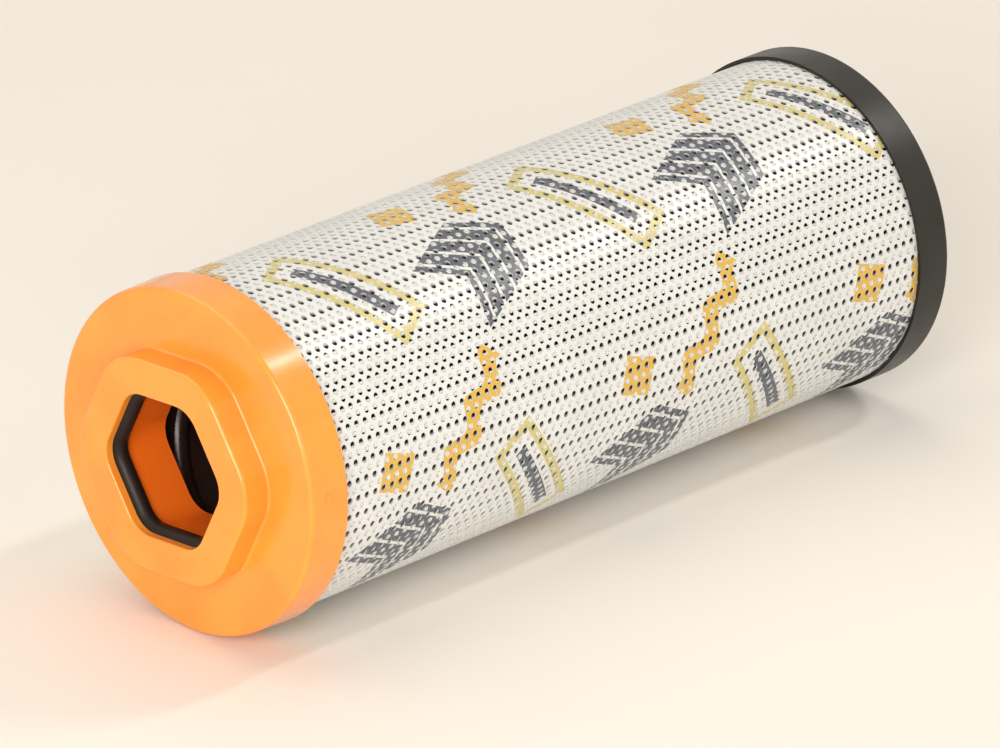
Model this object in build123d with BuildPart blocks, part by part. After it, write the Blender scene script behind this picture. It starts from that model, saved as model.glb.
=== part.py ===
from build123d import *
import os
from math import ceil, cos, degrees, floor, pi, radians, sin

# Hydraulic return-line filter element with a hexagonal sealed mouth, in millimetres.
# It stands on its closed cap at Z = 0, with +Z along its axis towards the open cap.

# Main sizes
body_height = 237.5  # closed cap's underside to the open cap's disc face
sleeve_radius = 45.9  # outside of the perforated sleeve
bond_gap = 0.2  # glue line between a cap's skirt and the sleeve
seat_gap = 0.1  # play between round faces that sit in one another
potting_depth = 3.5  # adhesive in each cap, under the pleats

# Open cap, one moulding with a hexagonal boss, mouth and collar
hexagon_sides = 6
open_floor = 3.0
open_skirt_wall = 1.4  # at the free edge
open_skirt_depth = 12.35  # disc face to the skirt's free edge
skirt_draft = 0.4  # how much narrower the skirt is at the disc
rim_radius = 1.2  # rounded edge between disc and skirt
boss_height = 8.4
boss_flats = 58.7
boss_corner_radius = 15.8
boss_edge_radius = 1.0
boss_foot_radius = 0.7
mouth_flats = 39.1
mouth_corner_radius = 8.1
mouth_edge_radius = 0.6
collar_depth = 12.6  # disc face to the collar's inner end
collar_wall = 2.0
pip_diameter = 2.2  # flat round gate mark on the outside of the skirt
pip_proud = 0.15
pip_below_face = 6.0
pip_angle = 150.6

# Hexagonal seal, a round cord in a groove of the mouth
seal_cord = 5.0
seal_proud = 2.0  # how far the cord stands out of the mouth's wall
seal_below_face = 5.05  # boss face to the middle of the cord
groove_play = 0.1

# Closed cap
closed_floor = 2.5
closed_skirt_wall = 1.0
closed_skirt_depth = 11.2
closed_rim_radius = 1.2
locating_ring_height = 4.5  # above the cap's floor, inside the core
locating_ring_wall = 2.0
gate_radius = 6.0  # shallow moulding mark in the middle of the underside
gate_depth = 0.5

# Core tube, wound from a strip whose edges meet in a helical seam, a round bead inside
core_play = 0.3  # from the collar's corners to the bead's crest
core_wall = 1.5
bead_proud = 1.4
bead_width = 4.8
bead_pitch = 45.0  # from one turn to the next
bead_below_face = 18.6  # disc face to the bead's middle, on the +X side
core_hole_diameter = 7.5
core_holes_in_turn = 8
core_hole_rows = 3  # side by side on the strip
core_row_spacing = 11.0
core_hole_clearance = 3.0  # from the collar or the closed cap's ring to the nearest holes

# Pleated pack, its layers from the outside in
layer_thickness = {
    "outer_support_mesh": 0.25,
    "outer_fleece": 0.2,
    "glass_fibre_media": 0.45,
    "inner_fleece": 0.15,
    "inner_support_mesh": 0.2,
}
fold_gap = 0.1  # between the two inner faces of one pleat
valley_gap = 0.4  # between neighbouring pleats at their roots
clip_wall = 0.35
clip_depth = 6.0

# Perforated sleeve, a sheet rolled and lapped on itself
sheet_thickness = 0.45
lap_width = 9.0
lap_film = 0.4  # room for glue inside the lap
film_play = 0.15  # what the glue film leaves of that room on either side
joggle_width = 3.0  # where the tucked end steps inwards
seam_angle = 0.0
hole_columns = 11
hole_rows = 10
hole_flats = 10.0  # each stands for many small round holes
hole_clear_of_seam = 30.0  # degrees round the seam that carry no holes

# Worked out from the sizes above
skirt_bore = sleeve_radius + bond_gap
open_radius = skirt_bore + open_skirt_wall
closed_radius = skirt_bore + closed_skirt_wall
boss_face = body_height + boss_height
open_seat = body_height - open_floor  # underside of the disc, where core and sleeve end
collar_flats = mouth_flats + 2 * collar_wall
collar_corner_radius = mouth_corner_radius + collar_wall
collar_reach = (collar_flats / 2 - collar_corner_radius) / cos(pi / hexagon_sides) + collar_corner_radius
seal_height = boss_face - seal_below_face
groove_depth = seal_cord - seal_proud + groove_play
groove_width = seal_cord + 2 * groove_play
bead_crest = collar_reach + core_play
core_bore = bead_crest + bead_proud
core_radius = core_bore + core_wall
sleeve_bore = sleeve_radius - sheet_thickness
tab_radius = sleeve_bore - lap_film  # outside of the end tucked under the lap
tab_bore = tab_radius - sheet_thickness
pleat_bottom = closed_floor + potting_depth
pleat_top = open_seat - potting_depth
pack_bore = core_radius + seat_gap
pack_radius = sleeve_bore - seat_gap
tucked_radius = tab_bore - seat_gap  # of the pleats that lie under the sleeve's tucked end
pack_thickness = sum(layer_thickness.values())
pleat_width = 2 * pack_thickness + fold_gap
pleat_count = floor(2 * pi * (pack_bore + pack_thickness) / (pleat_width + valley_gap))
tucked_turn = (lap_width + pleat_width) / tab_radius  # in radians, from the pack's two ends


def rounded_hexagon(flats, corner_radius):
    """Draw a hexagon in the open sketch, with round corners and a flat facing +X."""
    RegularPolygon(flats / 2, hexagon_sides, major_radius=False, rotation=180 / hexagon_sides)
    fillet(vertices(), corner_radius)


def on_circle(radius, angle):
    """A point of the XY plane by its radius and its angle in degrees."""
    return (radius * cos(radians(angle)), radius * sin(radians(angle)))


# Open end cap: disc and drafted skirt, then the hexagonal boss and collar with the mouth through both
with BuildPart() as open_end_cap:
    with BuildSketch(Plane.XZ):
        with BuildLine():
            Polyline(
                (0, open_seat),
                (skirt_bore, open_seat),
                (skirt_bore, body_height - open_skirt_depth),
                (open_radius, body_height - open_skirt_depth),
                (open_radius - skirt_draft, body_height),
                (0, body_height),
                close=True,
            )
        make_face()
        rim = vertices().group_by(Axis.Y)[-1].sort_by(Axis.X)[-1]
        fillet(rim, rim_radius)
    revolve(axis=Axis.Z)
    pip_depth = open_radius + pip_proud - skirt_bore
    with Locations(Pos(0, 0, body_height - pip_below_face) * Rot(0, 0, pip_angle) * Rot(0, 90, 0)):
        with Locations((0, 0, skirt_bore)):
            Cylinder(pip_diameter / 2, pip_depth, align=(Align.CENTER, Align.CENTER, Align.MIN))
    with BuildSketch(Plane.XY.offset(body_height)):
        rounded_hexagon(boss_flats, boss_corner_radius)
    extrude(amount=boss_height)
    boss_edge = faces().sort_by(Axis.Z)[-1].edges()
    fillet(boss_edge, boss_edge_radius)
    disc_face = faces().filter_by(Axis.Z).sort_by(Axis.Z)[-2]
    fillet(disc_face.inner_wires()[0].edges(), boss_foot_radius)
    with BuildSketch(Plane.XY.offset(open_seat)):
        rounded_hexagon(collar_flats, collar_corner_radius)
    extrude(amount=open_floor - collar_depth)
    with BuildSketch(Plane.XY.offset(boss_face)):
        rounded_hexagon(mouth_flats, mouth_corner_radius)
    extrude(amount=-(boss_height + collar_depth), mode=Mode.SUBTRACT)
    mouth_edge = faces().sort_by(Axis.Z)[-1].inner_wires()[0].edges()
    fillet(mouth_edge, mouth_edge_radius)
    with BuildSketch(Plane.XY.offset(seal_height - groove_width / 2)):
        rounded_hexagon(mouth_flats + 2 * groove_depth, mouth_corner_radius + groove_depth)
    extrude(amount=groove_width, mode=Mode.SUBTRACT)

# Seal: one round cord moulded as a hexagon, standing out of its groove
seal_flats = mouth_flats + seal_cord - 2 * seal_proud
seal_corner_radius = mouth_corner_radius + seal_cord / 2 - seal_proud
seal_reach = seal_flats / 2 / cos(pi / hexagon_sides)
side_angle = 360 / hexagon_sides
seal_corners = [on_circle(seal_reach, (corner + 0.5) * side_angle) for corner in range(hexagon_sides)]
with BuildPart() as hex_seal:
    with BuildLine(Plane.XY.offset(seal_height)) as cord_path:
        FilletPolyline(*seal_corners, radius=seal_corner_radius, close=True)
    with BuildSketch(Plane(origin=cord_path.line @ 0, z_dir=cord_path.line % 0)):
        Circle(seal_cord / 2)
    sweep()

# Closed end cap: floor, skirt and the ring that centres the core, with a shallow gate mark underneath
ring_radius = bead_crest - seat_gap
with BuildPart() as closed_end_cap:
    with BuildSketch(Plane.XZ):
        with BuildLine():
            Polyline(
                (0, gate_depth),
                (gate_radius, gate_depth),
                (gate_radius, 0),
                (closed_radius, 0),
                (closed_radius, closed_skirt_depth),
                (skirt_bore, closed_skirt_depth),
                (skirt_bore, closed_floor),
                (ring_radius, closed_floor),
                (ring_radius, closed_floor + locating_ring_height),
                (ring_radius - locating_ring_wall, closed_floor + locating_ring_height),
                (ring_radius - locating_ring_wall, closed_floor),
                (0, closed_floor),
                close=True,
            )
        make_face()
        rim = vertices().group_by(Axis.Y)[0].sort_by(Axis.X)[-1]
        fillet(rim, closed_rim_radius)
    revolve(axis=Axis.Z)

# Core tube: the helical bead is swept long and cut to length, then the wall and its holes are made
core_bottom = closed_floor
core_height = open_seat - core_bottom
bead_height = body_height - bead_below_face
turns_below = ceil((bead_height - core_bottom + bead_width) / bead_pitch)
bead_start = bead_height - turns_below * bead_pitch
lowest_hole = core_bottom + locating_ring_height + core_hole_clearance + core_hole_diameter / 2
highest_hole = body_height - collar_depth - core_hole_clearance - core_hole_diameter / 2
core_holes = []
for row in range(core_hole_rows):
    row_start = bead_start + bead_pitch / 2 + (row - (core_hole_rows - 1) / 2) * core_row_spacing
    for hole in range((turns_below + 1) * core_holes_in_turn):
        turn = (hole + row % 2 / 2) / core_holes_in_turn
        height = row_start + turn * bead_pitch
        if lowest_hole < height < highest_hole:
            core_holes.append(Pos(0, 0, height) * Rot(0, 0, 360 * turn) * Pos(core_radius, 0, 0))
with BuildPart() as core_tube:
    with BuildLine() as bead_path:
        Helix(bead_pitch, open_seat + bead_width - bead_start, core_bore, center=(0, 0, bead_start))
    with BuildSketch(Plane(origin=bead_path.line @ 0, x_dir=(1, 0, 0), z_dir=bead_path.line % 0)):
        with BuildLine():
            Polyline(
                (0, bead_width / 2),
                (core_wall / 2, bead_width / 2),
                (core_wall / 2, -bead_width / 2),
                (0, -bead_width / 2),
            )
            ThreePointArc((0, -bead_width / 2), (-bead_proud, 0), (0, bead_width / 2))
        make_face()
    sweep(is_frenet=True)
    with BuildSketch(Plane.XY.offset(core_bottom)):
        Circle(core_radius)
    extrude(amount=core_height, mode=Mode.INTERSECT)
    with BuildSketch(Plane.XY.offset(core_bottom)):
        Circle(core_radius)
        Circle(core_bore, mode=Mode.SUBTRACT)
    extrude(amount=core_height)
    with Locations(*core_holes):
        Cylinder(core_hole_diameter / 2, 4 * core_wall, rotation=(0, 90, 0), mode=Mode.SUBTRACT)

# Adhesive that holds core, pleats and sleeve in each cap
potting = {"lower_potting_ring": closed_floor, "upper_potting_ring": pleat_top}
potting_rings = {}
for name, bottom in potting.items():
    with BuildPart() as ring:
        with BuildSketch(Plane.XY.offset(bottom)):
            Circle(tucked_radius)
            Circle(core_radius + seat_gap, mode=Mode.SUBTRACT)
        extrude(amount=potting_depth)
    potting_rings[name] = ring


def fold_line(depth):
    """One face of the folded pack, depth below its outer face, from one end leg round to the other."""
    half_width = fold_gap / 2 + pack_thickness - depth
    half_pitch = pi / pleat_count
    valley = pack_bore + pack_thickness - depth
    root = (valley - half_width * sin(half_pitch)) / cos(half_pitch)
    line = [(end_leg, half_width), (root, half_width)]
    for pleat in range(1, pleat_count):
        turn = 2 * pi * pleat / pleat_count
        tip = (tucked_radius if turn < tucked_turn else pack_radius) - depth
        for along, across in ((root, -half_width), (tip, -half_width), (tip, half_width), (root, half_width)):
            line.append((along * cos(turn) - across * sin(turn), along * sin(turn) + across * cos(turn)))
    return line + [(root, -half_width), (end_leg, -half_width)]


# Pleated pack: layers folded together, each against the next, with the two end legs side by side
end_leg = tucked_radius - clip_wall - seat_gap
layers = {}
depth = 0
for name, thickness in layer_thickness.items():
    outer_face = fold_line(depth)
    inner_face = fold_line(depth + thickness)
    depth += thickness
    with BuildPart() as layer:
        with BuildSketch(Plane.XY.offset(pleat_bottom)):
            with BuildLine():
                Polyline(*outer_face, *reversed(inner_face), close=True)
            make_face()
        extrude(amount=pleat_top - pleat_bottom)
    layers[name] = layer

# Clip folded over the two end legs of the pack, along its whole length
clip_half_width = pleat_width / 2 + seat_gap / 2
with BuildPart() as pleat_seam_clip:
    with BuildSketch(Plane.XY.offset(pleat_bottom)):
        with Locations((end_leg + seat_gap / 2 + clip_wall, 0)):
            Rectangle(clip_depth, 2 * (clip_half_width + clip_wall), align=(Align.MAX, Align.CENTER))
        with Locations((end_leg + seat_gap / 2, 0)):
            Rectangle(clip_depth, 2 * clip_half_width, align=(Align.MAX, Align.CENTER), mode=Mode.SUBTRACT)
    extrude(amount=pleat_top - pleat_bottom)

# Sleeve: one sheet rolled round the pack, with its inner end tucked under the outer one
lap_angle = degrees(lap_width / tab_radius)
joggle_angle = degrees(joggle_width / sleeve_radius)
main_turn = 360 - joggle_angle
with BuildPart() as hole_punch:
    with BuildSketch(Plane.YZ):
        RegularPolygon(hole_flats / 2, hexagon_sides, major_radius=False)
    extrude(amount=2 * sheet_thickness, both=True)
hole_sector = 360 - hole_clear_of_seam
column_step = hole_sector / (hole_columns - 0.5)
row_step = (open_seat - closed_floor) / hole_rows
with BuildPart() as outer_sleeve:
    with BuildSketch(Plane.XY.offset(closed_floor)):
        with BuildLine():
            CenterArc((0, 0), sleeve_radius, seam_angle, main_turn)
            Line(on_circle(sleeve_radius, seam_angle + main_turn), on_circle(tab_radius, seam_angle))
            CenterArc((0, 0), tab_radius, seam_angle, lap_angle)
            Line(on_circle(tab_radius, seam_angle + lap_angle), on_circle(tab_bore, seam_angle + lap_angle))
            CenterArc((0, 0), tab_bore, seam_angle, lap_angle)
            Line(on_circle(tab_bore, seam_angle), on_circle(sleeve_bore, seam_angle + main_turn))
            CenterArc((0, 0), sleeve_bore, seam_angle, main_turn)
            Line(on_circle(sleeve_bore, seam_angle), on_circle(sleeve_radius, seam_angle))
        make_face()
    extrude(amount=open_seat - closed_floor)
    for row in range(hole_rows):
        row_height = closed_floor + (row + 0.5) * row_step
        start = seam_angle + hole_clear_of_seam / 2 + (row % 2) * column_step / 2
        with Locations((0, 0, row_height)):
            with PolarLocations(sleeve_radius, hole_columns, start, hole_columns * column_step):
                add(hole_punch.part, mode=Mode.SUBTRACT)

# Glue film inside the lap
film_angle = lap_angle - 2 * degrees(film_play / sleeve_bore)
film_start = seam_angle + degrees(film_play / sleeve_bore)
film_end = film_start + film_angle
film_radius = sleeve_bore - film_play
film_bore = tab_radius + film_play
with BuildPart() as sleeve_lap_glue:
    with BuildSketch(Plane.XY.offset(closed_floor)):
        with BuildLine():
            CenterArc((0, 0), film_radius, film_start, film_angle)
            Line(on_circle(film_radius, film_end), on_circle(film_bore, film_end))
            CenterArc((0, 0), film_bore, film_start, film_angle)
            Line(on_circle(film_bore, film_start), on_circle(film_radius, film_start))
        make_face()
    extrude(amount=open_seat - closed_floor)

pieces = {
    "open_end_cap": open_end_cap,
    "hex_seal": hex_seal,
    "closed_end_cap": closed_end_cap,
    "core_tube": core_tube,
    "pleat_seam_clip": pleat_seam_clip,
    "outer_sleeve": outer_sleeve,
    "sleeve_lap_glue": sleeve_lap_glue,
    **potting_rings,
    **layers,
}
os.makedirs("parts", exist_ok=True)
for name, piece in pieces.items():
    piece.part.label = name
    export_step(piece.part, f"parts/{name}.step")
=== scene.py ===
from math import atan2, cos, pi, radians, sin, tau

import bpy
from mathutils import Matrix, Vector


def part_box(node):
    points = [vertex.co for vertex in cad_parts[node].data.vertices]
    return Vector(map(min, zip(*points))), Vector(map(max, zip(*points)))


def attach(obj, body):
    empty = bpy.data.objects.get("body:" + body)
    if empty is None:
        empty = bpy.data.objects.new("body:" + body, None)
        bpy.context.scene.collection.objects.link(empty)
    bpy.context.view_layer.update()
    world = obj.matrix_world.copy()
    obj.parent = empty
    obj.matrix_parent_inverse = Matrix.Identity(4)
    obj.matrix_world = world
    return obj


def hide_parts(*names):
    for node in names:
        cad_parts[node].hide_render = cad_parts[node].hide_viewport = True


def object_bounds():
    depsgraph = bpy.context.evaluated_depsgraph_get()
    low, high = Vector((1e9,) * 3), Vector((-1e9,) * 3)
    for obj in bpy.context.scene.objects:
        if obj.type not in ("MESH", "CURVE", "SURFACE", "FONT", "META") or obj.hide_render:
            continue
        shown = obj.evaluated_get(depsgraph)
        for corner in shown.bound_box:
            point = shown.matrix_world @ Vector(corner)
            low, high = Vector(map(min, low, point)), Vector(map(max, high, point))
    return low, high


# Hydraulic filter element in metres, standing on its closed cap at Z = 0.
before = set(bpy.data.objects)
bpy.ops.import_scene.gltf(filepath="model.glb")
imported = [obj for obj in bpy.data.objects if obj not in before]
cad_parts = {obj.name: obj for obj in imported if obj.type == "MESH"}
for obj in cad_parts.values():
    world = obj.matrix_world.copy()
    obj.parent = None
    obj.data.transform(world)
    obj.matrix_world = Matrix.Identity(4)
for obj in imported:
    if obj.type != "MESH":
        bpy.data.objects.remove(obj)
cad_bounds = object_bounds()
scene = bpy.context.scene
mm = 0.001

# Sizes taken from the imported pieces
sleeve_low, sleeve_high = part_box("outer_sleeve")
sleeve_radius = sleeve_high.y
sleeve_bottom = sleeve_low.z
sleeve_top = sleeve_high.z
sleeve_middle = (sleeve_bottom + sleeve_top) / 2
cap_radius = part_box("open_end_cap")[1].y
cap_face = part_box("open_end_cap")[1].z
closed_skirt_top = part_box("closed_end_cap")[1].z
open_skirt_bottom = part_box("open_end_cap")[0].z
element_middle = Vector((0, 0, (cad_bounds[0].z + cad_bounds[1].z) / 2))

# Perforated sheet of the sleeve
sheet_thickness = 0.45 * mm
lap_film = 0.4 * mm  # room for glue inside the lap
hole_pitch = 3.0 * mm  # from hole to hole along the axis
row_pitch = 2.4 * mm  # from row to row round the sleeve
hole_radius = 0.9 * mm
hole_sides = 12
hidden_margin = 3.0 * mm  # how far inside each skirt the sheet's plain edge starts
pairs_in_piece = (21, 21, 20)  # pairs of rows in each piece, once round and the tucked end
weld_distance = 0.05 * mm  # points of the sheet that lie closer than this become one
crease_angle = radians(30)

# Rows of holes round the sleeve and along it
full_turn_rows = round(tau * sleeve_radius / row_pitch)
row_angle = tau / full_turn_rows
pair_angle = 2 * row_angle
cells_in_row = int((open_skirt_bottom - closed_skirt_top + 2 * hidden_margin) / hole_pitch)
first_cell = sleeve_middle - (cells_in_row + 0.5) * hole_pitch / 2  # where a row's holes start

# Print on the sleeve: plain shapes of no meaning, repeated round and along it
print_columns = 4
print_repeat = 88.0 * mm
print_depth = 0.1 * mm  # how far below the sheet's outer face the print can show
ink_edge = 0.12 * mm  # width over which an ink fades out
slate_ink = (0.050, 0.062, 0.095, 1)
amber_ink = (0.70, 0.41, 0.035, 1)
straw_ink = (0.60, 0.50, 0.13, 1)
sheet_white = (0.76, 0.76, 0.75, 1)
sheet_deep_white = (0.725, 0.725, 0.71, 1)

# Mouth of the open cap, where the orange is painted deeper and redder: painted shade and painted bounce
# light in the recess, in place of light that reaches it only through the plastic
mouth_painted_shade = (1.0, 0.19, 0.014, 1)
mouth_start = 3 * mm  # depth below the cap's face at which the painted shade starts
mouth_full = 9 * mm  # depth at which it is full
mouth_radius = 25 * mm
mouth_outer_radius = 26 * mm  # where it has faded out again

# Shade between the pleats, where the open mesh swallows light
fold_shade = (0.05, 0.047, 0.042, 1)
fold_shade_share = 0.85
pleat_tip_radius = sleeve_radius - sheet_thickness - 0.3 * mm

# The photographed view. The element lies on its side there, so the camera is rolled.
view_azimuth = radians(178.108)
view_elevation = radians(40.004)
view_roll = radians(-111.64)
view_distance = 2.5174
view_aim = Vector((0.0029, 0.0085, 0.1261))
view_lens = 342.0  # lens and sensor in their usual millimetres
view_sensor = 36.0
view_reach = 50.0

# Floor against the side of both caps, as the element lies in the photograph, and the room round it
floor_up = Vector((-0.553, -0.833, 0.0)).normalized()
floor_size = 12.0
floor_tone = (0.93, 0.89, 0.83, 1)
floor_deep_tone = (0.91, 0.87, 0.81, 1)
floor_cloud_size = 0.25
room_tint = (0.93, 0.885, 0.81, 1)
room_light = 0.36  # strength with which the room lights the element
room_seen = 1.0  # strength with which the camera and the reflections see it

# Values between which soft noise goes from nothing to full
noise_span = (0.35, 0.65)
wide_noise_span = (0.3, 0.7)


def deselect_all():
    """Leave object mode with nothing selected."""
    if bpy.context.object and bpy.context.object.mode != "OBJECT":
        bpy.ops.object.mode_set(mode="OBJECT")
    bpy.ops.object.select_all(action="DESELECT")


def select_only(piece):
    """Make one object the selected and active one."""
    deselect_all()
    piece.select_set(True)
    bpy.context.view_layer.objects.active = piece


def place_here(piece):
    """Put the object's place, turn and scale into its mesh."""
    select_only(piece)
    bpy.ops.object.transform_apply(location=True, rotation=True, scale=True)


def copy_of(piece, name):
    """A copy of an object with a mesh of its own."""
    select_only(piece)
    bpy.ops.object.duplicate(linked=False)
    twin = bpy.context.object
    twin.name = name
    return twin


def apply_modifier(piece, kind, **settings):
    """Add one modifier, set it and apply it."""
    select_only(piece)
    modifier = piece.modifiers.new(kind.title(), kind)
    for key, value in settings.items():
        setattr(modifier, key, value)
    bpy.ops.object.modifier_apply(modifier=modifier.name)


def dress(piece, material):
    """Give an object one material."""
    if piece.material_slots:
        for slot in piece.material_slots:
            slot.material = material
    else:
        piece.data.materials.append(material)


class Shader:
    """A node tree with short calls for its nodes."""

    def __init__(self, tree):
        self.tree = tree

    def fill(self, made, values):
        """Give a node's inputs their numbers, colours or sockets, by the name or place of each input."""
        for key, value in values.items():
            if isinstance(value, bpy.types.NodeSocket):
                self.tree.links.new(value, made.inputs[key])
            else:
                made.inputs[key].default_value = value

    def node(self, kind, values=None, **settings):
        """Add a node with its settings and fill its inputs."""
        made = self.tree.nodes.new(kind)
        for key, value in settings.items():
            setattr(made, key, value)
        self.fill(made, values or {})
        return made

    def find(self, kind):
        """The tree's one node of a kind."""
        return next(node for node in self.tree.nodes if node.type == kind)

    def group(self, name, values):
        """The outputs of a shared node group that is placed here with its own values."""
        return self.node("ShaderNodeGroup", values, node_tree=groups[name]).outputs

    def math(self, operation, *values):
        """The result of a Math node."""
        return self.node("ShaderNodeMath", dict(enumerate(values)), operation=operation).outputs[0]

    def mix(self, factor, first, second):
        """A colour between two colours."""
        made = self.node("ShaderNodeMix", {0: factor, 6: first, 7: second}, data_type="RGBA")
        return made.outputs[2]

    def ramp(self, value, low, high, start=0.0, end=1.0, interpolation="SMOOTHSTEP"):
        """A value mapped from one range to another."""
        values = {0: value, 1: low, 2: high, 3: start, 4: end}
        return self.node("ShaderNodeMapRange", values, interpolation_type=interpolation).outputs[0]

    def bump(self, height):
        """A normal tilted by a height in metres."""
        return self.node("ShaderNodeBump", {"Height": height, "Strength": 1.0, "Distance": 1.0}).outputs[0]

    def place(self):
        """The object coordinates, in metres."""
        return self.node("ShaderNodeTexCoord").outputs["Object"]

    def mapped(self, place, **values):
        """Coordinates that a Mapping node turns and scales."""
        return self.node("ShaderNodeMapping", {"Vector": place, **values}).outputs[0]

    def noise(self, place, size, detail=2.0, roughness=0.5):
        """Soft noise with blobs of about the given size in metres, a number or a socket."""
        is_socket = isinstance(size, bpy.types.NodeSocket)
        scale = self.math("DIVIDE", 1.0, size) if is_socket else 1.0 / size
        values = {"Vector": place, "Scale": scale, "Detail": detail, "Roughness": roughness}
        return self.node("ShaderNodeTexNoise", values).outputs[0]

    def scattered(self, place, size):
        """Distance from the nearest of many scattered points that lie about the given size apart."""
        return self.node("ShaderNodeTexVoronoi", {"Vector": place, "Scale": 1.0 / size}).outputs[0]

    def from_axis(self):
        """Distance from the element's axis, in metres."""
        level = self.node("ShaderNodeVectorMath", {0: self.place(), 1: (1, 1, 0)}, operation="MULTIPLY")
        return self.node("ShaderNodeVectorMath", {0: level.outputs[0]}, operation="LENGTH").outputs["Value"]

    def unrolled(self):
        """Distance round the sleeve, from its lap on, and height, in metres."""
        parts = self.node("ShaderNodeSeparateXYZ", {0: self.place()}).outputs
        back_x, back_y = (self.math("MULTIPLY", part, -1.0) for part in parts[:2])
        turn = self.math("ARCTAN2", back_y, back_x)
        return self.math("MULTIPLY", self.math("ADD", turn, pi), sleeve_radius), parts[2]


def new_group(name, inputs, outputs):
    """A shader node group with named sockets. Returns its tree helper, its inputs and its output node."""
    tree = bpy.data.node_groups.new(name, "ShaderNodeTree")
    for label, kind, value in inputs:
        socket = tree.interface.new_socket(label, in_out="INPUT", socket_type="NodeSocket" + kind)
        socket.default_value = value
    for label, kind in outputs:
        tree.interface.new_socket(label, in_out="OUTPUT", socket_type="NodeSocket" + kind)
    shader = Shader(tree)
    return shader, shader.node("NodeGroupInput").outputs, shader.node("NodeGroupOutput")


def grain_group():
    """Fine surface grain: a roughness that varies, and a normal with shallow bumps."""
    inputs = (
        ("Grain Size", "Float", 0.4 * mm),
        ("Depth", "Float", 0.01 * mm),
        ("Smooth Roughness", "Float", 0.3),
        ("Dull Roughness", "Float", 0.4),
    )
    shader, given, out = new_group("surface_grain", inputs, (("Roughness", "Float"), ("Normal", "Vector")))
    place = shader.place()
    fine = shader.noise(place, given["Grain Size"], detail=3.0)
    patches = shader.noise(place, 12 * mm, detail=4.0, roughness=0.6)
    smooth, dull = given["Smooth Roughness"], given["Dull Roughness"]
    shader.fill(out, {
        "Roughness": shader.ramp(patches, *noise_span, smooth, dull, interpolation="LINEAR"),
        "Normal": shader.bump(shader.math("MULTIPLY", fine, given["Depth"])),
    })
    return shader.tree


def tone_group():
    """Two tones of one colour in soft blotches, with a little fine speckle."""
    speckle_share = 0.2
    inputs = (
        ("Tone", "Color", (0.8, 0.8, 0.8, 1)),
        ("Deep Tone", "Color", (0.7, 0.7, 0.7, 1)),
        ("Blotch Size", "Float", 20 * mm),
    )
    shader, given, out = new_group("soft_tones", inputs, (("Color", "Color"),))
    place = shader.place()
    blotches = shader.noise(place, given["Blotch Size"], detail=3.0)
    speckle = shader.noise(place, 0.5 * mm)
    rest = shader.math("MULTIPLY", blotches, 1 - speckle_share)
    both = shader.math("MULTIPLY_ADD", speckle, speckle_share, rest)
    amount = shader.ramp(both, *noise_span)
    shader.fill(out, {"Color": shader.mix(amount, given["Tone"], given["Deep Tone"])})
    return shader.tree


def fibre_group():
    """Fibres of a felt, which lie in two directions, as noise that is stretched along each."""
    fibre_stretch = 0.15
    inputs = (("Fibre Size", "Float", 0.3 * mm),)
    shader, given, out = new_group("laid_fibres", inputs, (("Fibres", "Float"),))
    place = shader.place()
    layers = []
    for angle in (radians(20), radians(-65)):
        laid = shader.mapped(place, Rotation=(angle, 0, angle), Scale=(1, 1, fibre_stretch))
        layers.append(shader.noise(laid, given["Fibre Size"], detail=3.0, roughness=0.6))
    shader.fill(out, {"Fibres": shader.math("MAXIMUM", *layers)})
    return shader.tree


def bubble_group():
    """Masks of the small bubbles in a cast resin and of its cloudy parts."""
    outputs = (("Bubbles", "Float"), ("Cloud", "Float"))
    shader, _, out = new_group("cast_bubbles", (), outputs)
    place = shader.place()
    from_bubble = shader.scattered(place, 1.5 * mm)
    bubble_core, bubble_edge = 0.1, 0.22
    shader.fill(out, {
        "Bubbles": shader.ramp(from_bubble, bubble_core, bubble_edge, 1.0, 0.0),
        "Cloud": shader.ramp(shader.noise(place, 6 * mm, detail=3.0), *noise_span),
    })
    return shader.tree


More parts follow.
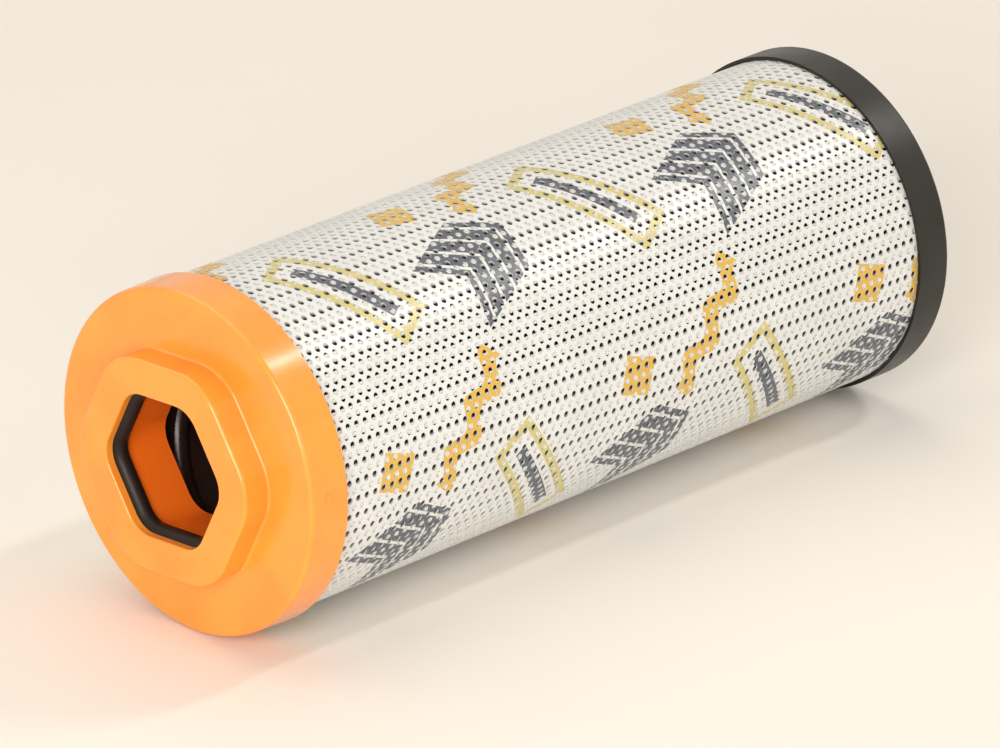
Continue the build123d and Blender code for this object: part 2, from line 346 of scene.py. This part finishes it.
def marks_group():
    """The print's three masks, from the distance round the sleeve and along it."""
    inputs = (("Round", "Float", 0.0), ("Along", "Float", 0.0))
    outputs = (("Slate", "Float"), ("Amber", "Float"), ("Straw", "Float"))
    shader, given, out = new_group("printed_marks", inputs, outputs)
    width = tau * sleeve_radius / print_columns
    column = shader.math("FLOOR", shader.math("DIVIDE", given["Round"], width))
    shift = shader.math("MULTIPLY", shader.math("WRAP", column, 2.0, 0.0), print_repeat / 2)
    along = shader.math("ADD", given["Along"], shift)
    side = shader.math("SUBTRACT", shader.math("WRAP", given["Round"], width, 0.0), width / 2)
    up = shader.math("SUBTRACT", shader.math("WRAP", along, print_repeat, 0.0), print_repeat / 2)

    def inside(distance):
        """Mask of all that a distance puts inside a mark."""
        return shader.ramp(distance, 0.0, ink_edge, 1.0, 0.0)

    def local(middle, angle):
        """Coordinates of one mark, from its middle in mm and turned by its angle in degrees."""
        aside = shader.math("SUBTRACT", side, middle[0] * mm)
        above = shader.math("SUBTRACT", up, middle[1] * mm)
        cosine, sine = cos(radians(angle)), sin(radians(angle))
        across = shader.math("MULTIPLY_ADD", aside, cosine, shader.math("MULTIPLY", above, sine))
        upward = shader.math("MULTIPLY_ADD", above, cosine, shader.math("MULTIPLY", aside, -sine))
        return across, upward

    def beyond(value, limit):
        """How far a value lies beyond a limit in mm, on either side of nought."""
        return shader.math("SUBTRACT", shader.math("ABSOLUTE", value), limit * mm)

    def block(across, upward, length, height):
        """Distance outside a rectangle of a length and a height in mm."""
        return shader.math("MAXIMUM", beyond(across, length / 2), beyond(upward, height / 2))

    # Stack of slate chevrons
    chevron_slope = 0.7
    stripe_repeat = 6.2
    stripe_width = 4.9
    across, upward = local(middle=(-13.0, 19.0), angle=28.0)
    bent = shader.math("MULTIPLY_ADD", shader.math("ABSOLUTE", across), -chevron_slope, upward)
    stripes = shader.math("PINGPONG", bent, stripe_repeat / 2 * mm)
    gaps = shader.math("SUBTRACT", stripes, stripe_width / 2 * mm)
    chevrons = inside(shader.math("MAXIMUM", gaps, block(across, bent, length=25.0, height=24.8)))

    # Amber lozenge beside them
    across, upward = local(middle=(11.0, 30.0), angle=28.0)
    corner_reach = 7.4
    reach = shader.math("ADD", shader.math("ABSOLUTE", across), shader.math("ABSOLUTE", upward))
    lozenge = inside(shader.math("SUBTRACT", reach, corner_reach * mm))

    # Wavy amber ribbon below the lozenge
    across, upward = local(middle=(17.0, 2.0), angle=-40.0)
    wave_length = 14.0
    wave_swing = 2.2
    wave = shader.math("SINE", shader.math("MULTIPLY", across, tau / (wave_length * mm)))
    level = shader.math("MULTIPLY_ADD", wave, -wave_swing * mm, upward)
    ribbon = inside(block(across, level, length=39.0, height=6.2))

    # Straw frame with a slate bar inside
    across, upward = local(middle=(-9.0, -23.0), angle=34.0)
    half_line = 1.3
    straw = inside(beyond(block(across, upward, length=39.0, height=12.4), half_line))
    bar = inside(block(across, upward, length=29.0, height=3.8))

    shader.fill(out, {
        "Slate": shader.math("MAXIMUM", chevrons, bar),
        "Amber": shader.math("MAXIMUM", lozenge, ribbon),
        "Straw": straw,
    })
    return shader.tree


def new_material(name):
    """An empty material with its shader and output. Returns the tree helper and the shader node."""
    material = bpy.data.materials.new(name)
    material.use_nodes = True
    material.node_tree.nodes.clear()
    shader = Shader(material.node_tree)
    surface = shader.node("ShaderNodeBsdfPrincipled")
    shader.node("ShaderNodeOutputMaterial", {"Surface": surface.outputs[0]})
    return material, shader, surface


def grained(shader, size, depth, roughness):
    """Roughness and normal of a surface with fine grain of a size and a depth."""
    smooth, dull = roughness
    values = {"Grain Size": size, "Depth": depth, "Smooth Roughness": smooth, "Dull Roughness": dull}
    skin = shader.group("grain", values)
    return {"Roughness": skin["Roughness"], "Normal": skin["Normal"]}


def moulded(name, tone, deep_tone, roughness, grain, depth=0.01 * mm, specular=0.5):
    """A moulded plastic or rubber: soft tones, fine grain and a roughness that varies."""
    material, shader, surface = new_material(name)
    tones = shader.group("tone", {"Tone": tone, "Deep Tone": deep_tone, "Blotch Size": 20 * mm})
    shader.fill(surface, {
        "Base Color": tones["Color"],
        **grained(shader, grain, depth, roughness),
        "Specular IOR Level": specular,
    })
    return material


def glossy_orange():
    """Glossy orange moulding, with painted shade and bounce light that make it deeper and redder in its
    mouth.
    """
    material = moulded(
        "orange_gloss", tone=(0.98, 0.35, 0.042, 1), deep_tone=(0.95, 0.30, 0.034, 1),
        roughness=(0.17, 0.26), grain=0.8 * mm, depth=0.006 * mm,
    )
    shader = Shader(material.node_tree)
    surface = shader.find("BSDF_PRINCIPLED")
    outer_orange = surface.inputs["Base Color"].links[0].from_socket
    height = shader.node("ShaderNodeSeparateXYZ", {0: shader.place()}).outputs["Z"]
    below = shader.ramp(height, cap_face - mouth_full, cap_face - mouth_start, 1.0, 0.0)
    within = shader.ramp(shader.from_axis(), mouth_radius, mouth_outer_radius, 1.0, 0.0)
    # Mask of the painted shade: it grows with depth in the mouth and fades out beyond the mouth's radius
    mouth = shader.math("MULTIPLY", below, within)
    shader.fill(surface, {
        "Base Color": shader.mix(mouth, outer_orange, mouth_painted_shade),
        "Coat Weight": 0.3,
        "Coat Roughness": 0.12,
    })
    return material


def woven(name, tone, gap_tone, thread_pitch, roughness, fold_depth):
    """A woven plastic mesh: threads across and along, with darker gaps between them.

    It gets darker from the pleats' tips inwards, down to the fold depth.
    """
    material, shader, surface = new_material(name)
    round_axis, along = shader.unrolled()
    path = shader.math("ADD", shader.from_axis(), round_axis)
    rate = tau / thread_pitch
    warp = shader.math("SINE", shader.math("MULTIPLY", path, rate))
    weft = shader.math("SINE", shader.math("MULTIPLY", along, rate))
    gap_edge, thread_edge = -0.4, 0.5
    cover = shader.ramp(shader.math("MAXIMUM", warp, weft), gap_edge, thread_edge)
    thread_height = 0.06 * mm
    deepest = pleat_tip_radius - fold_depth
    shade = shader.ramp(shader.from_axis(), deepest, pleat_tip_radius, fold_shade_share, 0.0)
    dullness = shader.noise(shader.place(), 2 * mm)
    shader.fill(surface, {
        "Base Color": shader.mix(shade, shader.mix(cover, gap_tone, tone), fold_shade),
        "Normal": shader.bump(shader.math("MULTIPLY", cover, thread_height)),
        "Roughness": shader.ramp(dullness, *wide_noise_span, *roughness),
    })
    return material


def felted(name, tone, deep_tone, fibre, roughness):
    """Fleece or glass fibre felt, its fibres paler than what lies between them."""
    material, shader, surface = new_material(name)
    fibres = shader.group("fibres", {"Fibre Size": fibre})["Fibres"]
    fibre_height = 0.1 * mm
    shader.fill(surface, {
        "Base Color": shader.mix(shader.ramp(fibres, 0.4, 0.65), deep_tone, tone),
        "Normal": shader.bump(shader.math("MULTIPLY", fibres, fibre_height)),
        "Roughness": shader.ramp(fibres, *wide_noise_span, *roughness),
        "Sheen Weight": 0.2,
    })
    return material


def metal_strip(name, tone, deep_tone, roughness):
    """Plain zinc-coated strip with fine rolling lines along its length."""
    material, shader, surface = new_material(name)
    place = shader.place()
    line_stretch = 0.02
    line_share, spangle_share = 0.5, 0.3
    lines = shader.noise(shader.mapped(place, Scale=(1, 1, line_stretch)), 0.15 * mm)
    spangle = shader.math("MULTIPLY", shader.scattered(place, 2.5 * mm), spangle_share)
    both = shader.math("MULTIPLY_ADD", lines, line_share, spangle)
    shader.fill(surface, {
        "Base Color": shader.mix(both, tone, deep_tone),
        "Roughness": shader.ramp(lines, *wide_noise_span, *roughness),
        "Metallic": 1.0,
    })
    return material


def resin(name, tone, deep_tone, bubble_tone=(0.93, 0.9, 0.82, 1)):
    """Cured casting resin or glue, a little cloudy, with small bubbles."""
    material, shader, surface = new_material(name)
    masks = shader.group("bubbles", {})
    colour = shader.mix(masks["Cloud"], tone, deep_tone)
    bubble_height = 0.05 * mm
    shader.fill(surface, {
        "Base Color": shader.mix(masks["Bubbles"], colour, bubble_tone),
        "Normal": shader.bump(shader.math("MULTIPLY", masks["Bubbles"], bubble_height)),
        "Roughness": shader.ramp(masks["Cloud"], 0.0, 1.0, 0.22, 0.4),
    })
    return material


def printed_sheet():
    """White satin sheet, printed on its outer face, with ink a little worn and uneven."""
    material, shader, surface = new_material("sleeve_sheet_printed")
    outer_face = shader.math("GREATER_THAN", shader.from_axis(), sleeve_radius - print_depth)
    round_axis, along = shader.unrolled()
    marks = shader.group("marks", {"Round": round_axis, "Along": along})
    place = shader.place()
    wear = shader.noise(place, 0.7 * mm, detail=3.0, roughness=0.7)
    thinnest_ink = 0.35
    most_worn, unworn = 0.3, 0.42
    worn = shader.ramp(wear, most_worn, unworn, thinnest_ink, 1.0)
    blotches = shader.ramp(shader.noise(place, 15 * mm, detail=3.0), *noise_span)
    colour = shader.mix(blotches, sheet_white, sheet_deep_white)
    inks = (("Straw", straw_ink, 0.9), ("Amber", amber_ink, 0.95), ("Slate", slate_ink, 0.95))
    for mark, ink, strength in inks:
        cover = shader.math("MULTIPLY", shader.math("MULTIPLY", marks[mark], outer_face), worn)
        colour = shader.mix(shader.math("MULTIPLY", cover, strength), colour, ink)
    skin = grained(shader, size=0.6 * mm, depth=0.008 * mm, roughness=(0.30, 0.38))
    shader.fill(surface, {"Base Color": colour, **skin})
    return material


def pale_floor():
    """Warm white floor. It is see-through from behind, so that no view loses the element."""
    material, shader, surface = new_material("pale_floor")
    cloud = shader.ramp(shader.noise(shader.place(), floor_cloud_size, detail=3.0), *wide_noise_span)
    shader.fill(surface, {
        "Base Color": shader.mix(cloud, floor_tone, floor_deep_tone),
        "Roughness": 0.6,
        "Specular IOR Level": 0.2,
    })
    behind = shader.node("ShaderNodeNewGeometry").outputs["Backfacing"]
    clear = shader.node("ShaderNodeBsdfTransparent")
    both = shader.node("ShaderNodeMixShader", {0: behind, 1: surface.outputs[0], 2: clear.outputs[0]})
    shader.fill(shader.find("OUTPUT_MATERIAL"), {"Surface": both.outputs[0]})
    return material


def holed_cell():
    """The lowest cell of a row: a flat rectangle that faces +X, with a round hole."""
    cell_width = 2 * sleeve_radius * sin(row_angle / 2)
    cell_middle = (sleeve_radius * cos(row_angle / 2), 0, first_cell + hole_pitch / 2)
    deselect_all()
    bpy.ops.mesh.primitive_plane_add(size=1, rotation=(0, pi / 2, 0), location=cell_middle)
    cell = bpy.context.object
    cell.scale = (hole_pitch, cell_width, 1)
    place_here(cell)
    bpy.ops.object.mode_set(mode="EDIT")
    bpy.ops.mesh.select_mode(type="EDGE")
    bpy.ops.mesh.delete(type="ONLY_FACE")
    bpy.ops.object.mode_set(mode="OBJECT")
    for edge in cell.data.edges:
        ends = [cell.data.vertices[index].co for index in edge.vertices]
        edge.select = abs(ends[0].z - ends[1].z) > hole_pitch / 2
    bpy.ops.object.mode_set(mode="EDIT")
    bpy.ops.mesh.subdivide(number_cuts=1)
    bpy.ops.mesh.primitive_circle_add(
        vertices=hole_sides, radius=hole_radius, rotation=(0, pi / 2, 0), location=cell_middle,
    )
    bpy.ops.mesh.select_all(action="SELECT")
    bpy.ops.mesh.fill(use_beauty=True)
    bpy.ops.mesh.normals_make_consistent(inside=False)
    bpy.ops.object.mode_set(mode="OBJECT")
    if cell.data.polygons[0].normal.x < 0:
        bpy.ops.object.mode_set(mode="EDIT")
        bpy.ops.mesh.flip_normals()
        bpy.ops.object.mode_set(mode="OBJECT")
    return cell


def extend_end(row, height, stops):
    """Extrude the row's end edge at one height, up or down to each stop in turn."""
    select_only(row)
    for vertex in row.data.vertices:
        vertex.select = abs(vertex.co.z - height) < 2 * weld_distance
    for edge in row.data.edges:
        edge.select = all(row.data.vertices[index].select for index in edge.vertices)
    for face in row.data.polygons:
        face.select = False
    bpy.ops.object.mode_set(mode="EDIT")
    for stop in stops:
        bpy.ops.mesh.extrude_region_move(TRANSFORM_OT_translate={"value": (0, 0, stop - height)})
        height = stop
    bpy.ops.object.mode_set(mode="OBJECT")


def perforated_row():
    """One row of holes along the axis, flat, facing +X, with a plain margin at each end."""
    row = holed_cell()
    apply_modifier(
        row, "ARRAY", count=cells_in_row, use_relative_offset=False, use_constant_offset=True,
        constant_offset_displace=(0, 0, hole_pitch), use_merge_vertices=True, merge_threshold=weld_distance,
    )
    row_end = first_cell + cells_in_row * hole_pitch
    extend_end(row, first_cell, (sleeve_bottom,))
    extend_end(row, row_end, (row_end + hole_pitch / 2, sleeve_top))
    return row


def row_pair():
    """Two rows side by side. Turned end for end, the second has its holes half a pitch further up."""
    pair = perforated_row()
    second_row = copy_of(pair, "second_row")
    second_row.rotation_euler = (pi, 0, row_angle)
    second_row.location.z = 2 * sleeve_middle
    place_here(second_row)
    select_only(pair)
    second_row.select_set(True)
    bpy.ops.object.join()
    pair.rotation_euler.z = row_angle / 2
    place_here(pair)
    return pair


def tuck_under(piece):
    """Step the sheet's last rows inwards, so that they lie under the first ones."""
    tab_radius = sleeve_radius - sheet_thickness - lap_film
    slope_start = tau - row_angle
    for vertex in piece.data.vertices:
        turn = atan2(vertex.co.y, vertex.co.x) % tau
        if turn < pi / 2:
            turn += tau
        inwards = min(max((turn - slope_start) / row_angle, 0.0), 1.0)
        ratio = 1 + inwards * (tab_radius / sleeve_radius - 1)
        vertex.co.x *= ratio
        vertex.co.y *= ratio


def finish_sheet(piece):
    """Join a piece's rows, give the sheet its thickness and material, and hide the imported sleeve that it
    stands in for.
    """
    select_only(piece)
    bpy.ops.object.mode_set(mode="EDIT")
    bpy.ops.mesh.select_all(action="SELECT")
    bpy.ops.mesh.remove_doubles(threshold=weld_distance)
    bpy.ops.object.mode_set(mode="OBJECT")
    apply_modifier(piece, "SOLIDIFY", thickness=sheet_thickness, offset=-1, use_rim=True)
    bpy.ops.object.shade_smooth_by_angle(angle=crease_angle)
    dress(piece, materials["sleeve"])
    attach(piece, "root")
    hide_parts("outer_sleeve")


def sleeve_pieces():
    """The perforated sheet, wound once round the pack and lapped, in pieces that meet edge to edge."""
    pair = row_pair()
    bpy.ops.object.empty_add(rotation=(0, 0, pair_angle))
    turn_step = bpy.context.object
    pieces = []
    pairs_before = 0
    for number, pairs in enumerate(pairs_in_piece, 1):
        piece = copy_of(pair, f"sleeve_sheet_{number}")
        piece.rotation_euler.z = pair_angle * pairs_before
        place_here(piece)
        apply_modifier(
            piece, "ARRAY", count=pairs, use_relative_offset=False, use_object_offset=True,
            offset_object=turn_step,
        )
        pairs_before += pairs
        pieces.append(piece)
    tuck_under(pieces[-1])
    for piece in pieces:
        finish_sheet(piece)
    bpy.data.objects.remove(pair)
    bpy.data.objects.remove(turn_step)


def set_camera():
    """The camera of the photograph, rolled about its own axis."""
    back = Vector((
        cos(view_elevation) * cos(view_azimuth),
        cos(view_elevation) * sin(view_azimuth),
        sin(view_elevation),
    ))
    right = Vector((0, 0, 1)).cross(back).normalized()
    upright = Matrix((right, back.cross(right), back)).transposed().to_4x4()
    bpy.ops.object.camera_add()
    camera = bpy.context.object
    camera.data.lens = view_lens
    camera.data.sensor_width = view_sensor
    camera.data.clip_end = view_reach
    place = Matrix.Translation(view_aim + back * view_distance)
    camera.matrix_world = place @ upright @ Matrix.Rotation(view_roll, 4, "Z")
    scene.camera = camera


def set_floor():
    """The floor that both caps lie on in the photograph."""
    bpy.ops.mesh.primitive_plane_add(size=floor_size)
    floor = bpy.context.object
    floor.name = "floor"
    floor.rotation_euler = floor_up.to_track_quat("Z", "Y").to_euler()
    floor.location = element_middle - floor_up * cap_radius
    dress(floor, pale_floor())


def area_light(name, direction, distance, size, power, colour):
    """A soft rectangular lamp aimed at the middle of the element."""
    bpy.ops.object.light_add(type="AREA")
    lamp = bpy.context.object
    lamp.name = name
    lamp.data.shape = "RECTANGLE"
    lamp.data.size, lamp.data.size_y = size
    lamp.data.energy = power
    lamp.data.color = colour
    direction = Vector(direction).normalized()
    lamp.location = element_middle + direction * distance
    lamp.rotation_euler = direction.to_track_quat("Z", "Y").to_euler()
    lamp.visible_camera = False


def set_lamps():
    """A wide lamp above the floor, one from the side, a narrow window and a fill for the open cap."""
    area_light(
        "overhead", direction=(-0.208, -0.978, 0.0), distance=1.6, size=(1.8, 1.8), power=11.5,
        colour=(1.0, 0.93, 0.83),
    )
    area_light(
        "room_side", direction=(-0.978, 0.208, 0.05), distance=1.8, size=(1.6, 1.2), power=5.5,
        colour=(1.0, 0.98, 0.95),
    )
    area_light(
        "window", direction=(-0.639, -0.448, -0.625), distance=1.7, size=(0.12, 0.4), power=5.5,
        colour=(1.0, 0.98, 0.95),
    )
    area_light(
        "front_fill", direction=(-0.60, -0.02, 0.80), distance=1.8, size=(0.9, 0.9), power=24,
        colour=(1.0, 0.97, 0.92),
    )


def set_room():
    """The pale surroundings, brighter to the camera and in reflections than the light that they give."""
    world = bpy.data.worlds.new("pale_room")
    world.use_nodes = True
    world.node_tree.nodes.clear()
    shader = Shader(world.node_tree)
    path = shader.node("ShaderNodeLightPath").outputs
    mirrored = shader.math("MAXIMUM", path["Is Glossy Ray"], path["Is Transmission Ray"])
    seen = shader.math("MAXIMUM", path["Is Camera Ray"], mirrored)
    strength = shader.math("MULTIPLY_ADD", seen, room_seen - room_light, room_light)
    background = shader.node("ShaderNodeBackground", {"Color": room_tint, "Strength": strength})
    shader.node("ShaderNodeOutputWorld", {"Surface": background.outputs[0]})
    scene.world = world


groups = {
    "grain": grain_group(),
    "tone": tone_group(),
    "fibres": fibre_group(),
    "bubbles": bubble_group(),
    "marks": marks_group(),
}
materials = {
    "sleeve": printed_sheet(),
    "open_end_cap": glossy_orange(),
    # Near-black seal; its red-brown tint is partly its own colour and partly a painted reflection of the
    # orange cap
    "hex_seal": moulded(
        "seal_black_painted_reflection", tone=(0.014, 0.0095, 0.0075, 1), deep_tone=(0.020, 0.014, 0.011, 1),
        roughness=(0.34, 0.46), grain=0.25 * mm, specular=0.2,
    ),
    "closed_end_cap": moulded(
        "brown_black_satin", tone=(0.014, 0.0125, 0.0095, 1), deep_tone=(0.020, 0.018, 0.014, 1),
        roughness=(0.34, 0.44), grain=0.5 * mm, specular=0.35,
    ),
    # Near-black core; its brown tint is partly its own colour and partly a painted reflection of the orange
    # cap
    "core_tube": moulded(
        "core_black", tone=(0.020, 0.010, 0.007, 1), deep_tone=(0.026, 0.014, 0.010, 1),
        roughness=(0.22, 0.32), grain=0.4 * mm, specular=0.4,
    ),
    "sleeve_lap_glue": resin(
        "lap_glue_film", tone=(0.74, 0.66, 0.45, 1), deep_tone=(0.64, 0.54, 0.34, 1),
    ),
    "lower_potting_ring": resin(
        "cast_resin", tone=(0.62, 0.53, 0.34, 1), deep_tone=(0.52, 0.43, 0.26, 1),
    ),
    "outer_support_mesh": woven(
        "mesh_white", tone=(0.88, 0.87, 0.82, 1), gap_tone=(0.58, 0.56, 0.51, 1),
        thread_pitch=0.55 * mm, roughness=(0.35, 0.5), fold_depth=1.2 * mm,
    ),
    "outer_fleece": felted(
        "fleece_white", tone=(0.80, 0.79, 0.75, 1), deep_tone=(0.68, 0.67, 0.63, 1),
        fibre=0.35 * mm, roughness=(0.7, 0.9),
    ),
    "glass_fibre_media": felted(
        "glass_felt", tone=(0.83, 0.82, 0.77, 1), deep_tone=(0.74, 0.73, 0.68, 1),
        fibre=0.2 * mm, roughness=(0.75, 0.95),
    ),
    "pleat_seam_clip": metal_strip(
        "zinc_strip", tone=(0.66, 0.67, 0.68, 1), deep_tone=(0.45, 0.46, 0.47, 1),
        roughness=(0.28, 0.42),
    ),
}
materials["upper_potting_ring"] = materials["lower_potting_ring"]
materials["inner_fleece"] = materials["outer_fleece"]
materials["inner_support_mesh"] = materials["outer_support_mesh"]

set_camera()
set_floor()
set_lamps()
set_room()
scene.view_settings.view_transform = "Standard"
for name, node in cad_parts.items():
    if name in materials:
        dress(node, materials[name])
sleeve_pieces()
